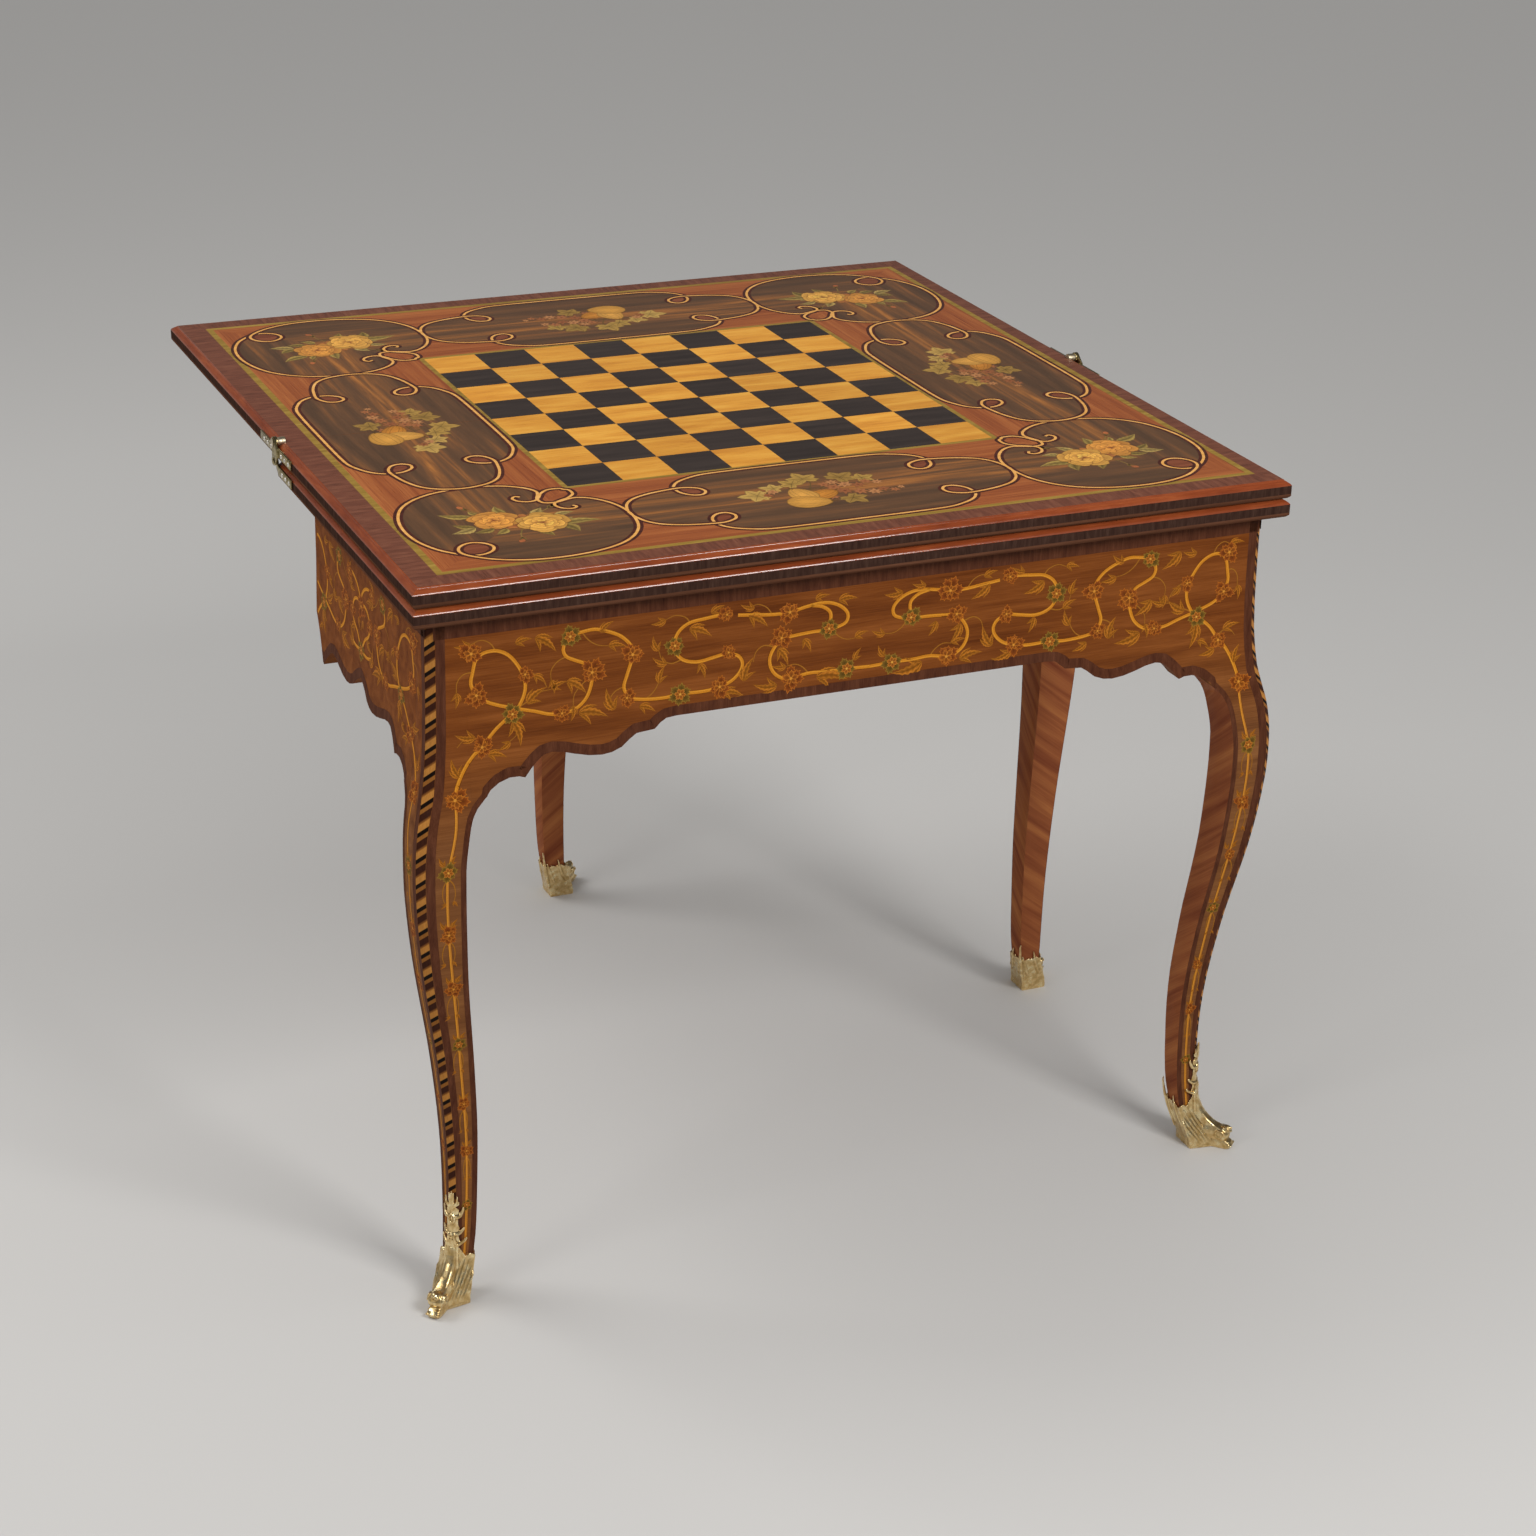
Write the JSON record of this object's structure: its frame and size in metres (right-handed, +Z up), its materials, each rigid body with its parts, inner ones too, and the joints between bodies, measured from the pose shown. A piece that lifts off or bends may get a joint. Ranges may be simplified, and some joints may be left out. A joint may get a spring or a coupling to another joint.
{
  "type": "folding games table",
  "caption": "Square games table on cabriole legs with a folding chessboard top and a leg that swings out to carry the unfolded leaf.",
  "frame": {"origin": "on the floor, under the middle of the table as it stands open", "axes": "+Z up, the front with the long apron faces -Y, +X to the right seen from the front"},
  "size_m": [0.9156, 0.9128, 0.7656],
  "materials": {
    "carcase": "plain oiled oak",
    "edge": "polished stained moulding",
    "marquetry": "french-polished marquetry veneer",
    "apron": "french-polished marquetry veneer",
    "leg": "french-polished veneer",
    "gilt": "chased and gilt",
    "hinge_brass": "worn polish",
    "hinge_iron": "dark wrought"
  },
  "bodies": {
    "frame": {"bottom_leaf_core": "carcase", "middle_leaf_core": "carcase", "back_rail_inner": "carcase", "back_rail_outer": "carcase", "rail_spacer_middle": "carcase", "rail_spacer_right": "carcase", "cross_brace": "carcase", "front_batten_left": "carcase", "front_batten_right": "carcase", "side_batten_left": "carcase", "side_batten_right": "carcase", "bottom_leaf_front_edge": "edge", "bottom_leaf_edge_left": "edge", "bottom_leaf_edge_right": "edge", "middle_leaf_front_edge": "edge", "middle_leaf_edge_left": "edge", "middle_leaf_edge_right": "edge", "middle_leaf_marquetry": "marquetry", "front_apron": "apron", "left_apron": "apron", "right_apron": "apron", "leg_front_left": "leg", "leg_front_right": "leg", "leg_back_right": "leg", "sabot_front_left": "gilt", "sabot_front_right": "gilt", "sabot_back_right": "gilt", "hinge_left_bottom": "hinge_brass", "hinge_left_middle": "hinge_brass", "hinge_left_upper_pin": "hinge_brass", "hinge_left_lower_pin": "hinge_brass", "hinge_right_bottom": "hinge_brass", "hinge_right_middle": "hinge_brass", "hinge_right_upper_pin": "hinge_brass", "hinge_right_lower_pin": "hinge_brass", "butt_upper_fixed": "hinge_iron", "butt_upper_pin": "hinge_iron", "butt_lower_fixed": "hinge_iron", "butt_lower_pin": "hinge_iron"},
    "top_leaf": {"top_leaf_core": "carcase", "top_leaf_marquetry": "marquetry", "top_leaf_back_edge": "edge", "top_leaf_edge_left": "edge", "top_leaf_edge_right": "edge", "hinge_left_top": "hinge_brass", "hinge_right_top": "hinge_brass"},
    "swing_leg": {"gate_leg": "leg", "gate_leg_ear": "leg", "gate_rail": "carcase", "gate_sabot": "gilt", "butt_upper_swing": "hinge_iron", "butt_lower_swing": "hinge_iron"}
  },
  "joints": [
    {"name": "top_leaf_fold", "type": "hinge", "parent": "frame", "child": "top_leaf", "pos_m": [0, 0.00187, 0.76015], "axis": [1, 0, 0], "range_deg": [0, 180]},
    {"name": "swing_leg_close", "type": "hinge", "parent": "frame", "child": "swing_leg", "pos_m": [0, -0.01613, 0.3], "axis": [0, 0, 1], "range_deg": [0, 90]}
  ]
}
